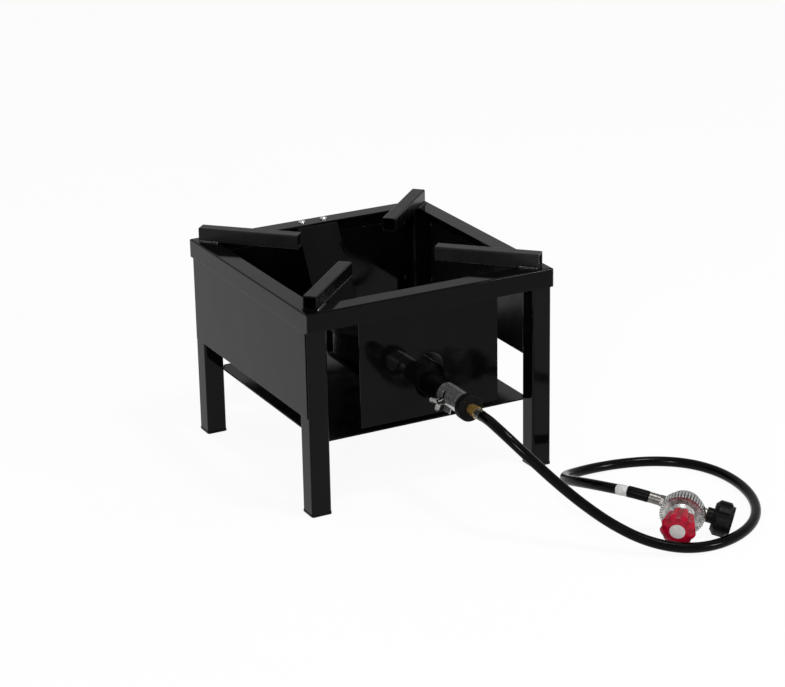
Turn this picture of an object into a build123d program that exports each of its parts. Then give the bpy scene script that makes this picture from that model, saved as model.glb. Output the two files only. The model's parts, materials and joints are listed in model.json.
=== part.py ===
from build123d import *
import os
from math import cos, pi, radians, sin, sqrt, tan

# Sizes are in millimetres. The stand's centre is at x = y = 0 and its feet are on z = 0.
# +X is the right side of the stand, +Y its back and +Z up.

# Top rim: four mitred lengths of steel angle
RIM_SIDE = 356.0          # outside of the square
RIM_TOP = 274.6           # height of the top face
RIM_FLANGE = 25.4         # both flanges of the angle
RIM_WALL = 2.0
RIM_BEND = 2.0            # outside radius along the edge

# Legs: square tube with a plastic plug in the bottom
LEG_SIDE = 27.5
LEG_WALL = 1.6
LEG_CORNER = 3.0
FOOT_THICK = 3.0
FOOT_LIP = 0.4            # how far the plug's plate stands past the tube
FOOT_PLUG = 12.0
FOOT_FIT = 0.1            # gap between plug and tube
FOOT_PLUG_CORNER = 1.5

# Least inside corner of a square tube
TUBE_INNER_CORNER = 0.3

# Pot supports: short square tubes on the diagonals
SUPPORT_SIDE = 19.0
SUPPORT_WALL = 1.8
SUPPORT_CORNER = 2.0
SUPPORT_LENGTH = 140.0
SUPPORT_INSET = 17.0      # from the rim's corner to the outer end

# Side and back panels, welded on the outside of the legs
PANEL_SHEET = 1.2
PANEL_BOTTOM = 133.4
PANEL_EDGE = 4.5          # from the leg's outer face to the panel's upright edge
PANEL_GAP = 0.2           # under the rim's flange

# Front heat shield, hung inside the front rim
SHIELD_WIDTH = 200.0
SHIELD_SHEET = 1.2
SHIELD_BOTTOM = 104.0
SHIELD_SETBACK = 8.0      # front face behind the rim's flange
SHIELD_LAP = 9.0          # tab welded to the flange
SHIELD_STEP = 6.0         # height of the step below the tab
SHIELD_TOP_GAP = 1.6
SHIELD_BEND = 3.0
TUBE_HOLE_RADIUS = 21.0
TUBE_HOLE_RISE = 19.5     # length between the slot's arc centres

# Bottom shelf
SHELF_SIDE_LAP = 3.0      # past the legs' inner faces at the sides
SHELF_END_LAP = 9.5       # past the legs' inner faces at the front and back
SHELF_SHEET = 2.0
SHELF_TOP = 93.5
SHELF_LAP = 5.0           # length of shelf edge welded beside each leg's corner

# Burner strap, bent flat bar under the back rim
STRAP_WIDTH = 60.0
STRAP_SHEET = 3.0
STRAP_REAR_GAP = 1.0      # to the rim's back flange
STRAP_FLANGE = 26.0
STRAP_FOOT_BEND = 65.0    # y of the lower bend
STRAP_FOOT_END = 28.0     # how far the foot goes past the burner's centre
STRAP_BEND = 8.0

# Bolts
STRAP_BOLT_RADIUS = 3.0
STRAP_BOLT_HEAD_RADIUS = 5.0
STRAP_BOLT_HEAD = 2.6
STRAP_BOLT_ROUND = 1.3     # sloping edge of the pan head
STRAP_NUT_FLATS = 10.0
STRAP_BOLT_SPACING = 33.0
STRAP_BOLT_INSET = 13.0   # from the rim's back face
STRAP_NUT_HEIGHT = 5.0
CENTRE_BOLT_RADIUS = 4.0
CENTRE_BOLT_FLATS = 13.0
CENTRE_BOLT_HEAD = 5.3
CENTRE_NUT_HEIGHT = 6.5
BOLT_STICKOUT = 2.5       # thread past the nut
BOLT_GAP = 0.3            # radial gap of a bolt in its hole
THREAD_GAP = 0.05         # radial gap of a thread in its nut

# Burner bowl and head
TUBE_HEIGHT = 148.0       # height of the mixing tube's axis
BOWL_DROP = 30.0          # bowl's seat below the tube's axis
BOWL_RISE = 22.0          # bowl's rim above the tube's axis
BOWL_RADIUS = 49.0
BOWL_WALL = 4.5
BOWL_FLOOR = 5.0
BOWL_SEAT_RADIUS = 18.0
BOWL_SEAT_HEIGHT = 5.0
BOWL_KNEE = 10.0          # width of the slope between floor and wall
BOWL_KNEE_HEIGHT = 9.0
BOWL_SIDE_HEIGHT = 20.0   # where the upright wall begins
POST_RADIUS = 9.0
POST_FOOT = 3.0           # flare of the head's boss on the post
HEAD_OVERHANG = 2.0
HEAD_EDGE = 6.0
HEAD_CROWN = 14.0
HEAD_WALL = 6.0
HEAD_SPIGOT = 4.0         # ring under the head that centres it in the bowl
HEAD_FIT = 0.3
HEAD_SPIGOT_WALL = 4.0
HEAD_SLOPE = 12.0         # width of the sloping edge inside the bowl's wall
HEAD_SHOULDER = 3.0       # drop from the crown to that slope
PORT_RADIUS = 1.6
PORT_ROW_RADII = (38.0, 31.0, 24.5, 18.0)
PORT_ROW_COUNTS = (24, 20, 16, 10)
CUT_PAST = 1.0            # how far a cut runs past the face it opens

# Mixing tube, distances measured forward from the burner's centre
NECK_RADIUS = 17.0
NECK_END = 100.0
TUBE_RADIUS = 26.0        # wide part behind the shield
TUBE_SWELL = 128.0
TUBE_STRAIGHT = 160.0
TUBE_WALL = 3.5
FRONT_RADIUS = 14.5       # narrow part in front of the shield
FRONT_START = 165.5
FRONT_END = 207.0
CAGE_RADIUS = 13.0
CAGE_WALL = 3.0
CAGE_START = 209.0
CAGE_END = 264.0
WINDOW_START = 221.0
WINDOW_END = 254.0
WINDOW_ANGLES = ((212.0, 275.0), (-45.0, 25.0))

# Air shutter and its wing screw
SHUTTER_GAP = 0.3
SHUTTER_SHEET = 1.2
SHUTTER_START = 212.5
SHUTTER_LENGTH = 50.5
SHUTTER_FROM = -85.0      # the sleeve's two ends, degrees
SHUTTER_TO = 214.0
SHUTTER_WINDOW = (-45.0, 25.0)
SHUTTER_SLOT = (137.0, 203.0)
TAB_AT = 210.0
TAB_WIDTH = 16.0
TAB_LENGTH = 8.0
TAB_LEAN = 253.0          # direction of the finger tab, degrees
WING_AT = 228.0
WING_ANGLE = 190.0        # direction of the screw round the tube, degrees
WING_TURN = 35.0          # ears from the tube's direction, degrees
WING_SCREW_RADIUS = 2.5
WING_COLLAR_RADIUS = 5.0
WING_COLLAR = 1.5
WING_BARREL_RADIUS = 4.0
WING_BARREL = 6.0
WING_REACH = 10.0
WING_HEIGHT = 8.0
WING_EAR_RADIUS = 3.0
WING_ROOT_RADIUS = 3.0
WING_SHEET = 2.4

# Orifice cap, brass orifice, flare nut and burner-end ferrule
CAP_RADIUS = 17.5
CAP_LENGTH = 11.0
CAP_ROUND = 1.2
CAP_SPIGOT = 6.0
CAP_FIT = 0.1
ORIFICE_FLATS = 12.0
ORIFICE_HEX = 6.0
ORIFICE_THREAD = 4.0
ORIFICE_SPIGOT = 13.0
ORIFICE_BORE = 0.6
FLARE_RADIUS = 4.9
FLARE_LENGTH = 7.0
FLARE_NUT_FLATS = 13.5
FLARE_NUT_LENGTH = 10.5
FLARE_NUT_GAP = 0.3       # end gaps of the turning nut
RUN_GAP = 0.08            # radial gap of a turning piece on its shaft
STEM_RADIUS = 4.0
STEM_BORE = 2.0

# Hose
HOSE_RADIUS = 6.6
HOSE_BORE = 4.0
HOSE_STRAIGHT = 21.0      # straight end at the regulator
FERRULE_RADIUS = 6.9
FERRULE_LENGTH = 10.9
FERRULE_GROOVE = 0.15
FERRULE_BANDS = 7         # every other band is a groove
SLEEVE_LENGTH = 27.0
SLEEVE_WALL = 0.65
TAG_LENGTH = 14.3
TAG_WALL = 0.45
HOSE_WRAP_GAP = 0.05
HOSE_ROUTE = (
    (1.6, -335.5, 144.1), (7.0, -351.9, 135.9), (16.9, -368.1, 122.6), (31.8, -385.1, 103.9),
    (50.7, -404.3, 81.5), (73.3, -426.6, 57.8), (98.6, -451.4, 35.9), (127.5, -477.4, 18.9),
    (162.0, -500.1, 9.5), (201.0, -510.5, 6.9), (242.6, -504.6, 6.9), (281.4, -484.5, 6.9),
    (312.7, -452.9, 6.9), (334.7, -411.6, 6.9), (345.7, -364.3, 6.9), (343.0, -317.3, 6.9),
    (324.1, -277.6, 6.9), (289.9, -250.0, 6.9), (247.7, -235.7, 6.9), (206.8, -233.7, 8.3),
    (172.1, -241.2, 11.5), (147.3, -258.0, 18.9), (133.3, -284.1, 26.6), (128.7, -315.1, 36.6),
    (130.6, -348.6, 45.3), (138.8, -381.7, 50.5))
HOSE_FIRST_RUN = 16.0
CORNER_SHARE = 0.45       # share of the shorter run that a bend may use

# Regulator: where it lies and how it is turned
REG_CENTRE = (194.5, -459.8, 33.4)
REG_HEADING = 227.5       # compass direction of the knob's axis, degrees from +X
REG_PITCH = -8.5
REG_ROLL = -14.0

# Regulator body, heights measured along the knob's axis from the diaphragm
BODY_RADIUS = 23.4
BODY_DEPTH = 24.0
BODY_WALL = 4.0
BODY_BACK_RADIUS = 17.0
BODY_TAPER = 2.0          # how much the side draws in towards the back
BODY_FLANGE_RADIUS = 26.0
BODY_FLANGE = 5.0
BODY_NECK = 1.0           # straight side below the flange
CHAMBER_RADIUS = 19.0
PORT_DEPTH = 13.8         # port axis below the diaphragm
BOSS_RADIUS = 7.4
INLET_BOSS_END = 27.9
OUTLET_BOSS_END = 25.4
PORT_BORE = 5.1
PORT_ENTRY = 4.0          # how far a port's drill runs into the chamber
PRESS_GAP = 0.1           # fitted brass in its bore
DIAPHRAGM = 0.8
PLATE_RADIUS = 10.8
PLATE_THICK = 1.4
BONNET_FLANGE = 4.2
BONNET_RADIUS = 13.0
BONNET_SHOULDER = 17.0
BONNET_SLOPE = 2.0        # height of the slope from shoulder to neck
BONNET_TOP = 23.0
BONNET_ROOF = 3.0
BONNET_ROUND = 1.5
SPRING_ROOM = 10.6
SPRING_ROOM_FLARE = 5.0   # wider mouth of that room at the diaphragm
SPRING_ROOM_STEP = 3.2
KEY_WIDTH = 2.4
KEY_DEPTH = 1.6
KEY_ROOT = 0.5            # how far the key is sunk in the wall
RING_WALL = 2.0
RING_LIP = 1.2
RING_LAP = 3.0
RING_FIT = 0.1
RING_NOTCHES = 44         # crimping grooves round the side
NOTCH_LENGTH = 7.0        # back from the ring's front edge
NOTCH_DEPTH = 1.2

# Regulator valve
NOZZLE_RADIUS = 4.0
NOZZLE_TIP = 9.0          # distance of the nozzle's tip from the knob's axis
NOZZLE_BORE = 1.2
DISC_RADIUS = 3.5
DISC_THICK = 2.5
DISC_GAP = 0.2
LEVER_WIDTH = 4.0
LEVER_THICK = 1.6
LEVER_ARM = 16.0
LEVER_GAP = 0.5           # below the diaphragm
PIN_RADIUS = 1.2
PIN_LENGTH = 12.0
PIN_EDGE = 1.0            # metal of the lever around the pin

# Adjusting screw, spring and knob
SCREW_RADIUS = 3.0
SCREW_TIP = 8.0
SCREW_HEAD_RADIUS = 4.0
COLLAR_RADIUS = 5.5
COLLAR_THICK = 1.4
SCREW_GAP = 0.3           # end gaps of the turning screw
SCREW_RUN = 0.08
SEAT_THICK = 3.8
SEAT_GAP = 0.3            # round the spring seat and its keyway
SPRING_RADIUS = 7.8
SPRING_WIRE = 0.7
SPRING_TURNS = 4
SPRING_GAP = 0.02
KNOB_RADIUS = 23.4
KNOB_VALLEY = 20.4
KNOB_LOBES = 9
KNOB_LOBE_RADIUS = 5.7
KNOB_BACK_SCALE = 0.77    # the outline at the back against the one at the front
KNOB_START = 14.5
KNOB_END = 42.0
KNOB_ROOM_RADIUS = 13.6
KNOB_ROOM_END = 31.0
KNOB_FACE_RADIUS = 14.8
KNOB_SHOULDER = 9.0       # length of the rounded front
KNOB_TRIM = 0.5           # how far the turned outline stands past the lobes
SCREW_IN_KNOB = 6.0
LABEL_RADIUS = 9.75
LABEL_THICK = 0.8
LABEL_SUNK = 0.4
LABEL_FIT = 0.1

# Inlet nipple and coupling nut, distances measured from the knob's axis
NIPPLE_RADIUS = 6.5
NIPPLE_FLANGE_RADIUS = 11.0
NIPPLE_FLANGE = 2.7
NIPPLE_NOSE_RADIUS = 6.0
NIPPLE_END = 58.4
NIPPLE_BORE = 3.0
NIPPLE_CHAMFER = 1.0
FITTING_INSET = 2.0       # steps of the brass fittings behind the chamber's wall
SEAL_AT = 53.4
SEAL_LENGTH = 3.0
SEAL_WALL = 1.5
SEAL_ROUND = 0.6
SEAL_GAP = 0.02
NUT_START = 28.6
NUT_NECK_RADIUS = 9.7
NUT_SHOULDER = 36.6
NUT_BACK = 3.5
NUT_END = 61.4
NUT_RADIUS = 20.4
NUT_RIB_RADIUS = 22.4
NUT_RIBS = 8
NUT_RIB_WIDTH = 10.5
NUT_BACK_RADIUS = 16.8    # where the slope behind the ribs begins
NUT_BACK_SLOPE = 5.2
NUT_FRONT_RADIUS = 18.5   # plain ring at the open end
NUT_FRONT_RING = 2.5
NUT_FRONT_SLOPE = 3.3
NUT_SOCKET_RADIUS = 16.7
NUT_GAP = 0.3

# Regulator outlet
OUTLET_FLATS = 12.6
OUTLET_HEX = 5.4
OUTLET_STEM_RADIUS = 3.5
OUTLET_STEM = 11.0
OUTLET_BORE = 2.2
OUTLET_FERRULE = 14.5

# Values that follow from the sizes above
RIM_HALF = RIM_SIDE / 2
LEG_FACE = RIM_HALF - RIM_WALL
LEG_IN = LEG_FACE - LEG_SIDE
LEG_MID = LEG_FACE - LEG_SIDE / 2
FLANGE_UNDER = RIM_TOP - RIM_WALL
FLANGE_BOTTOM = RIM_TOP - RIM_FLANGE
BOWL_BASE = TUBE_HEIGHT - BOWL_DROP
BOWL_TOP = TUBE_HEIGHT + BOWL_RISE
HEAD_TOP = BOWL_TOP + HEAD_CROWN
BOLT_HOLE = STRAP_BOLT_RADIUS + BOLT_GAP
CENTRE_HOLE = CENTRE_BOLT_RADIUS + BOLT_GAP
STRAP_BOLT_Y = RIM_HALF - STRAP_BOLT_INSET
STRAP_UNDER = FLANGE_UNDER - STRAP_SHEET
CAP_END = CAGE_END + CAP_LENGTH
ORIFICE_END = CAP_END + ORIFICE_HEX
FLARE_END = ORIFICE_END + FLARE_LENGTH
FLARE_NUT_START = ORIFICE_END + FLARE_NUT_GAP
FLARE_NUT_END = FLARE_NUT_START + FLARE_NUT_LENGTH
FERRULE_START = FLARE_NUT_END + FLARE_NUT_GAP
HOSE_START = FERRULE_START + FERRULE_LENGTH
CORNERS = {"front_left": (-1, -1), "front_right": (1, -1), "back_left": (-1, 1), "back_right": (1, 1)}

NODES = {}


def slab(x0, x1, y0, y1, z0, z1):
    """Block between two corners."""
    return Pos((x0 + x1) / 2, (y0 + y1) / 2, (z0 + z1) / 2) * Box(x1 - x0, y1 - y0, z1 - z0)


def turned(points, place):
    """Piece turned about the axis of place; points are (radius, distance along the axis)."""
    outline = Polyline(*[(r, 0, s) for r, s in points], close=True)
    return place * revolve(make_face(outline), Axis.Z)


def rod(radius, start, end, place):
    """Round rod along the axis of place."""
    return place * (Pos(0, 0, (start + end) / 2) * Cylinder(radius, end - start))


def hexagon(flats, start, end, place):
    """Hexagonal bar along the axis of place."""
    face = Pos(0, 0, start) * RegularPolygon(flats / 2, 6, major_radius=False)
    return place * extrude(face, amount=end - start, dir=(0, 0, 1))


def sector(r0, r1, s0, s1, start, end, place):
    """Part of a ring between two angles about the axis of place."""
    outline = Polyline((r0, 0, s0), (r1, 0, s0), (r1, 0, s1), (r0, 0, s1), close=True)
    part = revolve(make_face(outline), Axis.Z, revolution_arc=end - start)
    return place * (Rot(0, 0, start) * part)


def square_tube(side, wall, corner, length):
    """Square tube standing on the origin."""
    outer = RectangleRounded(side, side, corner)
    inner = RectangleRounded(side - 2 * wall, side - 2 * wall, max(corner - wall, TUBE_INNER_CORNER))
    return extrude(outer - inner, amount=length, dir=(0, 0, 1))


def bent_sheet(points, bend, sheet, width):
    """Strip bent along (y, z) points, with the sheet on the left of the path."""
    path = FilletPolyline(*points, radius=bend)
    outline = offset(path, amount=sheet, side=Side.LEFT)
    return extrude(Plane.YZ * make_face(outline), amount=width / 2, both=True)


def rim_rail(turn):
    """One mitred length of the rim; turn 0 is the front, 90 the right."""
    section = FilletPolyline(
        (-RIM_HALF, FLANGE_BOTTOM), (-RIM_HALF, RIM_TOP), (-RIM_HALF + RIM_FLANGE, RIM_TOP),
        (-RIM_HALF + RIM_FLANGE, FLANGE_UNDER), (-LEG_FACE, FLANGE_UNDER), (-LEG_FACE, FLANGE_BOTTOM),
        radius=(0, RIM_BEND, 0, 0, 0, 0), close=True)
    bar = extrude(Plane.YZ * make_face(section), amount=RIM_HALF, both=True)
    mitre = make_face(Polyline((0, 0), (-RIM_SIDE, -RIM_SIDE), (RIM_SIDE, -RIM_SIDE), close=True))
    return Rot(0, 0, turn) * (bar & extrude(mitre, amount=2 * RIM_TOP, dir=(0, 0, 1)))


def make_stand():
    """Rim, legs, feet, pot supports, panels, shield and shelf."""
    for name, turn in (("front", 0), ("right", 90), ("back", 180), ("left", 270)):
        NODES["rim_" + name] = rim_rail(turn)
    for sign in (-1, 1):
        hole = Cylinder(BOLT_HOLE, 4 * RIM_WALL)
        NODES["rim_back"] -= Pos(sign * STRAP_BOLT_SPACING / 2, STRAP_BOLT_Y, RIM_TOP) * hole

    leg = Pos(0, 0, FOOT_THICK) * square_tube(LEG_SIDE, LEG_WALL, LEG_CORNER, FLANGE_UNDER - FOOT_THICK)
    plate_side = LEG_SIDE + 2 * FOOT_LIP
    plug_side = LEG_SIDE - 2 * LEG_WALL - 2 * FOOT_FIT
    foot = extrude(RectangleRounded(plate_side, plate_side, LEG_CORNER), amount=FOOT_THICK, dir=(0, 0, 1))
    plug = RectangleRounded(plug_side, plug_side, FOOT_PLUG_CORNER)
    plug = extrude(plug, amount=FOOT_PLUG, dir=(0, 0, 1))
    foot += Pos(0, 0, FOOT_THICK) * plug
    for name, (sx, sy) in CORNERS.items():
        NODES["leg_" + name] = Pos(sx * LEG_MID, sy * LEG_MID, 0) * leg
        NODES["foot_" + name] = Pos(sx * LEG_MID, sy * LEG_MID, 0) * foot

    inner_end = sqrt(2) * RIM_HALF - SUPPORT_INSET - SUPPORT_LENGTH
    tube = square_tube(SUPPORT_SIDE, SUPPORT_WALL, SUPPORT_CORNER, SUPPORT_LENGTH)
    tube = Pos(inner_end, 0, RIM_TOP + SUPPORT_SIDE / 2) * (Rot(0, 90, 0) * tube)
    turns = {"back_right": 45, "back_left": 135, "front_left": 225, "front_right": 315}
    for name, turn in turns.items():
        NODES["pot_support_" + name] = Rot(0, 0, turn) * tube

    half = LEG_FACE - PANEL_EDGE
    panel = slab(-LEG_FACE - PANEL_SHEET, -LEG_FACE, -half, half, PANEL_BOTTOM, FLANGE_BOTTOM - PANEL_GAP)
    for name, turn in (("left", 0), ("right", 180), ("back", -90)):
        NODES[name + "_panel"] = Rot(0, 0, turn) * panel

    top = FLANGE_UNDER - SHIELD_TOP_GAP
    face_y = -LEG_FACE + SHIELD_SETBACK
    shield = bent_sheet(
        ((-LEG_FACE, top), (-LEG_FACE, top - SHIELD_LAP), (face_y, top - SHIELD_LAP - SHIELD_STEP),
         (face_y, SHIELD_BOTTOM)), SHIELD_BEND, SHIELD_SHEET, SHIELD_WIDTH)
    slot = Plane.XZ * SlotCenterToCenter(TUBE_HOLE_RISE, 2 * TUBE_HOLE_RADIUS, rotation=90)
    slot = extrude(slot, amount=SHIELD_SETBACK, both=True)
    NODES["front_heat_shield"] = shield - Pos(0, face_y, TUBE_HEIGHT + TUBE_HOLE_RISE / 2) * slot

    outline = Rectangle(2 * (LEG_IN + SHELF_SIDE_LAP), 2 * (LEG_IN + SHELF_END_LAP))
    reach = 2 * LEG_IN + SHELF_LAP
    clip = Polyline((reach, 0), (0, reach), (-reach, 0), (0, -reach), close=True)
    outline &= make_face(clip)
    for sx, sy in CORNERS.values():
        outline -= Pos(sx * LEG_MID, sy * LEG_MID) * Rectangle(LEG_SIDE, LEG_SIDE)
    shelf = extrude(outline, amount=SHELF_SHEET, dir=(0, 0, 1))
    NODES["bottom_shelf"] = Pos(0, 0, SHELF_TOP - SHELF_SHEET) * shelf


def make_burner_mount():
    """Strap with its bolts and nuts, and the bolt through the burner's centre."""
    rear = LEG_FACE - STRAP_REAR_GAP
    strap = bent_sheet(
        ((rear, FLANGE_UNDER), (rear - STRAP_FLANGE, FLANGE_UNDER), (STRAP_FOOT_BEND, BOWL_BASE),
         (-STRAP_FOOT_END, BOWL_BASE)), STRAP_BEND, STRAP_SHEET, STRAP_WIDTH)
    strap -= Pos(0, 0, BOWL_BASE) * Cylinder(CENTRE_HOLE, 4 * STRAP_SHEET)
    bolts = []
    nuts = []
    nut_end = STRAP_UNDER - STRAP_NUT_HEIGHT
    head_top = RIM_TOP + STRAP_BOLT_HEAD
    head_edge = head_top - STRAP_BOLT_ROUND
    for sign in (-1, 1):
        place = Plane((sign * STRAP_BOLT_SPACING / 2, STRAP_BOLT_Y, 0))
        strap -= rod(BOLT_HOLE, STRAP_UNDER - STRAP_SHEET, RIM_TOP, place)
        bolt = turned((
            (0, RIM_TOP), (STRAP_BOLT_HEAD_RADIUS, RIM_TOP), (STRAP_BOLT_HEAD_RADIUS, head_edge),
            (STRAP_BOLT_HEAD_RADIUS - STRAP_BOLT_ROUND, head_top), (0, head_top)), place)
        bolts.append(bolt + rod(STRAP_BOLT_RADIUS, nut_end - BOLT_STICKOUT, RIM_TOP, place))
        nut = hexagon(STRAP_NUT_FLATS, nut_end, STRAP_UNDER, place)
        nuts.append(nut - rod(STRAP_BOLT_RADIUS + THREAD_GAP, nut_end, STRAP_UNDER, place))
    NODES["burner_strap"] = strap
    NODES["strap_bolts"] = Compound(children=bolts)
    NODES["strap_nuts"] = Compound(children=nuts)

    under = BOWL_BASE - STRAP_SHEET
    nut_top = HEAD_TOP + CENTRE_NUT_HEIGHT
    bolt = hexagon(CENTRE_BOLT_FLATS, under - CENTRE_BOLT_HEAD, under, Plane.XY)
    NODES["centre_bolt"] = bolt + rod(CENTRE_BOLT_RADIUS, under, nut_top + BOLT_STICKOUT, Plane.XY)
    nut = hexagon(CENTRE_BOLT_FLATS, HEAD_TOP, nut_top, Plane.XY)
    NODES["centre_nut"] = nut - rod(CENTRE_BOLT_RADIUS + THREAD_GAP, HEAD_TOP, nut_top, Plane.XY)


def make_burner(tube):
    """Casting with its bowl and mixing tube, and the ported head."""
    room = BOWL_RADIUS - BOWL_WALL
    seat = BOWL_BASE + BOWL_SEAT_HEIGHT
    knee = BOWL_BASE + BOWL_KNEE_HEIGHT
    side = BOWL_BASE + BOWL_SIDE_HEIGHT
    bowl = turned((
        (CENTRE_HOLE, BOWL_BASE), (BOWL_SEAT_RADIUS, BOWL_BASE), (BOWL_SEAT_RADIUS, seat),
        (BOWL_RADIUS - BOWL_KNEE, knee), (BOWL_RADIUS, side), (BOWL_RADIUS, BOWL_TOP),
        (room, BOWL_TOP), (room, side + BOWL_FLOOR / 2), (room - BOWL_KNEE, knee + BOWL_FLOOR),
        (POST_RADIUS, seat + BOWL_FLOOR), (POST_RADIUS, BOWL_TOP), (CENTRE_HOLE, BOWL_TOP)),
        Plane.XY)
    bore = TUBE_RADIUS - TUBE_WALL
    neck_bore = NECK_RADIUS - TUBE_WALL
    front_bore = FRONT_RADIUS - TUBE_WALL
    cage_bore = CAGE_RADIUS - CAGE_WALL
    rooted = room - BOWL_WALL
    casting = bowl + turned((
        (0, rooted), (NECK_RADIUS, rooted), (NECK_RADIUS, NECK_END), (TUBE_RADIUS, TUBE_SWELL),
        (TUBE_RADIUS, TUBE_STRAIGHT), (FRONT_RADIUS, FRONT_START), (FRONT_RADIUS, FRONT_END),
        (CAGE_RADIUS, CAGE_START), (CAGE_RADIUS, CAGE_END), (0, CAGE_END)), tube)
    inside = rooted - BOWL_WALL
    outside = CAGE_END + CUT_PAST
    casting -= turned((
        (0, inside), (neck_bore, inside), (neck_bore, NECK_END), (bore, TUBE_SWELL),
        (bore, TUBE_STRAIGHT - TUBE_WALL), (front_bore, FRONT_START), (front_bore, FRONT_END),
        (cage_bore, CAGE_START), (cage_bore, outside), (0, outside)), tube)
    low = cage_bore - CUT_PAST
    high = CAGE_RADIUS + CUT_PAST
    for start, end in WINDOW_ANGLES:
        casting -= sector(low, high, WINDOW_START, WINDOW_END, start, end, tube)
    casting -= rod(WING_SCREW_RADIUS + RUN_GAP, low, high, wing_place())
    NODES["burner_casting"] = casting

    edge = BOWL_RADIUS + HEAD_OVERHANG
    spigot = room - HEAD_FIT
    boss = POST_RADIUS + POST_FOOT
    slope = room - HEAD_SLOPE
    skirt = BOWL_TOP - HEAD_SPIGOT
    head = turned((
        (CENTRE_HOLE, BOWL_TOP), (boss, BOWL_TOP), (boss + POST_FOOT, HEAD_TOP - HEAD_WALL),
        (slope, HEAD_TOP - HEAD_SHOULDER - HEAD_WALL), (spigot - HEAD_SPIGOT_WALL, skirt),
        (spigot, skirt), (spigot, BOWL_TOP), (edge, BOWL_TOP), (edge, BOWL_TOP + HEAD_EDGE),
        (slope, HEAD_TOP - HEAD_SHOULDER), (boss, HEAD_TOP), (CENTRE_HOLE, HEAD_TOP)), Plane.XY)
    for radius, count in zip(PORT_ROW_RADII, PORT_ROW_COUNTS):
        for i in range(count):
            a = 2 * pi * i / count
            drill = Plane((radius * cos(a), radius * sin(a), 0))
            head -= rod(PORT_RADIUS, skirt - CUT_PAST, HEAD_TOP + CUT_PAST, drill)
    NODES["burner_head"] = head


def wing_place():
    """Place of the wing screw: its axis points outwards and its ears lie along x."""
    at = radians(WING_ANGLE)
    turn = radians(WING_TURN)
    across = Vector(sin(at), 0, -cos(at))
    ears = Vector(0, 1, 0) * cos(turn) + across * sin(turn)
    return Plane((0, -WING_AT, TUBE_HEIGHT), x_dir=ears, z_dir=(cos(at), 0, sin(at)))


def make_shutter(tube):
    """Air shutter sleeve with its finger tab, and the wing screw in its slot."""
    inner = CAGE_RADIUS + SHUTTER_GAP
    outer = inner + SHUTTER_SHEET
    end = SHUTTER_START + SHUTTER_LENGTH
    band = sector(inner, outer, SHUTTER_START, end, SHUTTER_FROM, SHUTTER_TO, tube)
    band -= sector(inner - CUT_PAST, outer + CUT_PAST, WINDOW_START, WINDOW_END, *SHUTTER_WINDOW, tube)
    slot = WING_SCREW_RADIUS + SHUTTER_GAP
    band -= sector(inner - CUT_PAST, outer + CUT_PAST, WING_AT - slot, WING_AT + slot, *SHUTTER_SLOT, tube)
    middle = (inner + outer) / 2
    at = radians(TAB_AT)
    tab = Box(TAB_LENGTH, SHUTTER_SHEET, TAB_WIDTH)
    tab = Pos(TAB_LENGTH / 2, 0, SHUTTER_START + SHUTTER_LENGTH / 2) * tab
    tab = Pos(middle * cos(at), middle * sin(at), 0) * (Rot(0, 0, TAB_LEAN) * tab)
    NODES["air_shutter"] = band + tube * tab

    place = wing_place()
    collar = outer + SHUTTER_GAP
    barrel = collar + WING_COLLAR
    top = barrel + WING_BARREL
    screw = rod(WING_SCREW_RADIUS, CAGE_RADIUS - CAGE_WALL, collar, place)
    screw += rod(WING_COLLAR_RADIUS, collar, barrel, place)
    screw += rod(WING_BARREL_RADIUS, barrel, top, place)
    for side in (-1, 1):
        ear = Pos(side * (WING_REACH - WING_EAR_RADIUS), top + WING_HEIGHT - WING_EAR_RADIUS)
        root = Pos(0, barrel + WING_ROOT_RADIUS) * Circle(WING_ROOT_RADIUS)
        wing = make_hull((ear * Circle(WING_EAR_RADIUS)).edges() + root.edges())
        screw += place * extrude(Plane.XZ * wing, amount=WING_SHEET / 2, both=True)
    NODES["shutter_wing_screw"] = screw


def make_gas_inlet(tube):
    """Cap, orifice, flare nut and the hose's first ferrule."""
    cage_bore = CAGE_RADIUS - CAGE_WALL
    bore = ORIFICE_THREAD + PRESS_GAP
    NODES["orifice_cap"] = turned((
        (bore, CAGE_END - CAP_SPIGOT), (cage_bore - CAP_FIT, CAGE_END - CAP_SPIGOT),
        (cage_bore - CAP_FIT, CAGE_END), (CAP_RADIUS, CAGE_END), (CAP_RADIUS, CAP_END - CAP_ROUND),
        (CAP_RADIUS - CAP_ROUND, CAP_END), (bore, CAP_END)), tube)
    orifice = hexagon(ORIFICE_FLATS, CAP_END, ORIFICE_END, tube)
    orifice += rod(ORIFICE_THREAD, CAP_END - ORIFICE_SPIGOT, CAP_END, tube)
    orifice += rod(FLARE_RADIUS, ORIFICE_END, FLARE_END, tube)
    NODES["orifice"] = orifice - rod(ORIFICE_BORE, CAP_END - ORIFICE_SPIGOT, FLARE_END, tube)

    stem_start = FLARE_END + 2 * FLARE_NUT_GAP
    nut = hexagon(FLARE_NUT_FLATS, FLARE_NUT_START, FLARE_NUT_END, tube)
    nut -= rod(FLARE_RADIUS + RUN_GAP, FLARE_NUT_START, FLARE_END + FLARE_NUT_GAP, tube)
    NODES["flare_nut"] = nut - rod(STEM_RADIUS + RUN_GAP, FLARE_NUT_START, FLARE_NUT_END, tube)
    ferrule = ferrule_sleeve(FERRULE_START, HOSE_START, tube)
    ferrule += rod(STEM_RADIUS, stem_start, FERRULE_START, tube)
    NODES["burner_ferrule"] = ferrule - rod(STEM_BORE, stem_start, HOSE_START, tube)


def ferrule_sleeve(start, end, place):
    """Crimped ferrule with shallow grooves."""
    low = FERRULE_RADIUS - FERRULE_GROOVE
    step = (end - start) / FERRULE_BANDS
    points = [(0, start)]
    for i in range(FERRULE_BANDS):
        radius = low if i % 2 else FERRULE_RADIUS
        points.append((radius, start + i * step))
        points.append((radius, start + (i + 1) * step))
    points.append((0, end))
    return turned(points, place)


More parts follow.
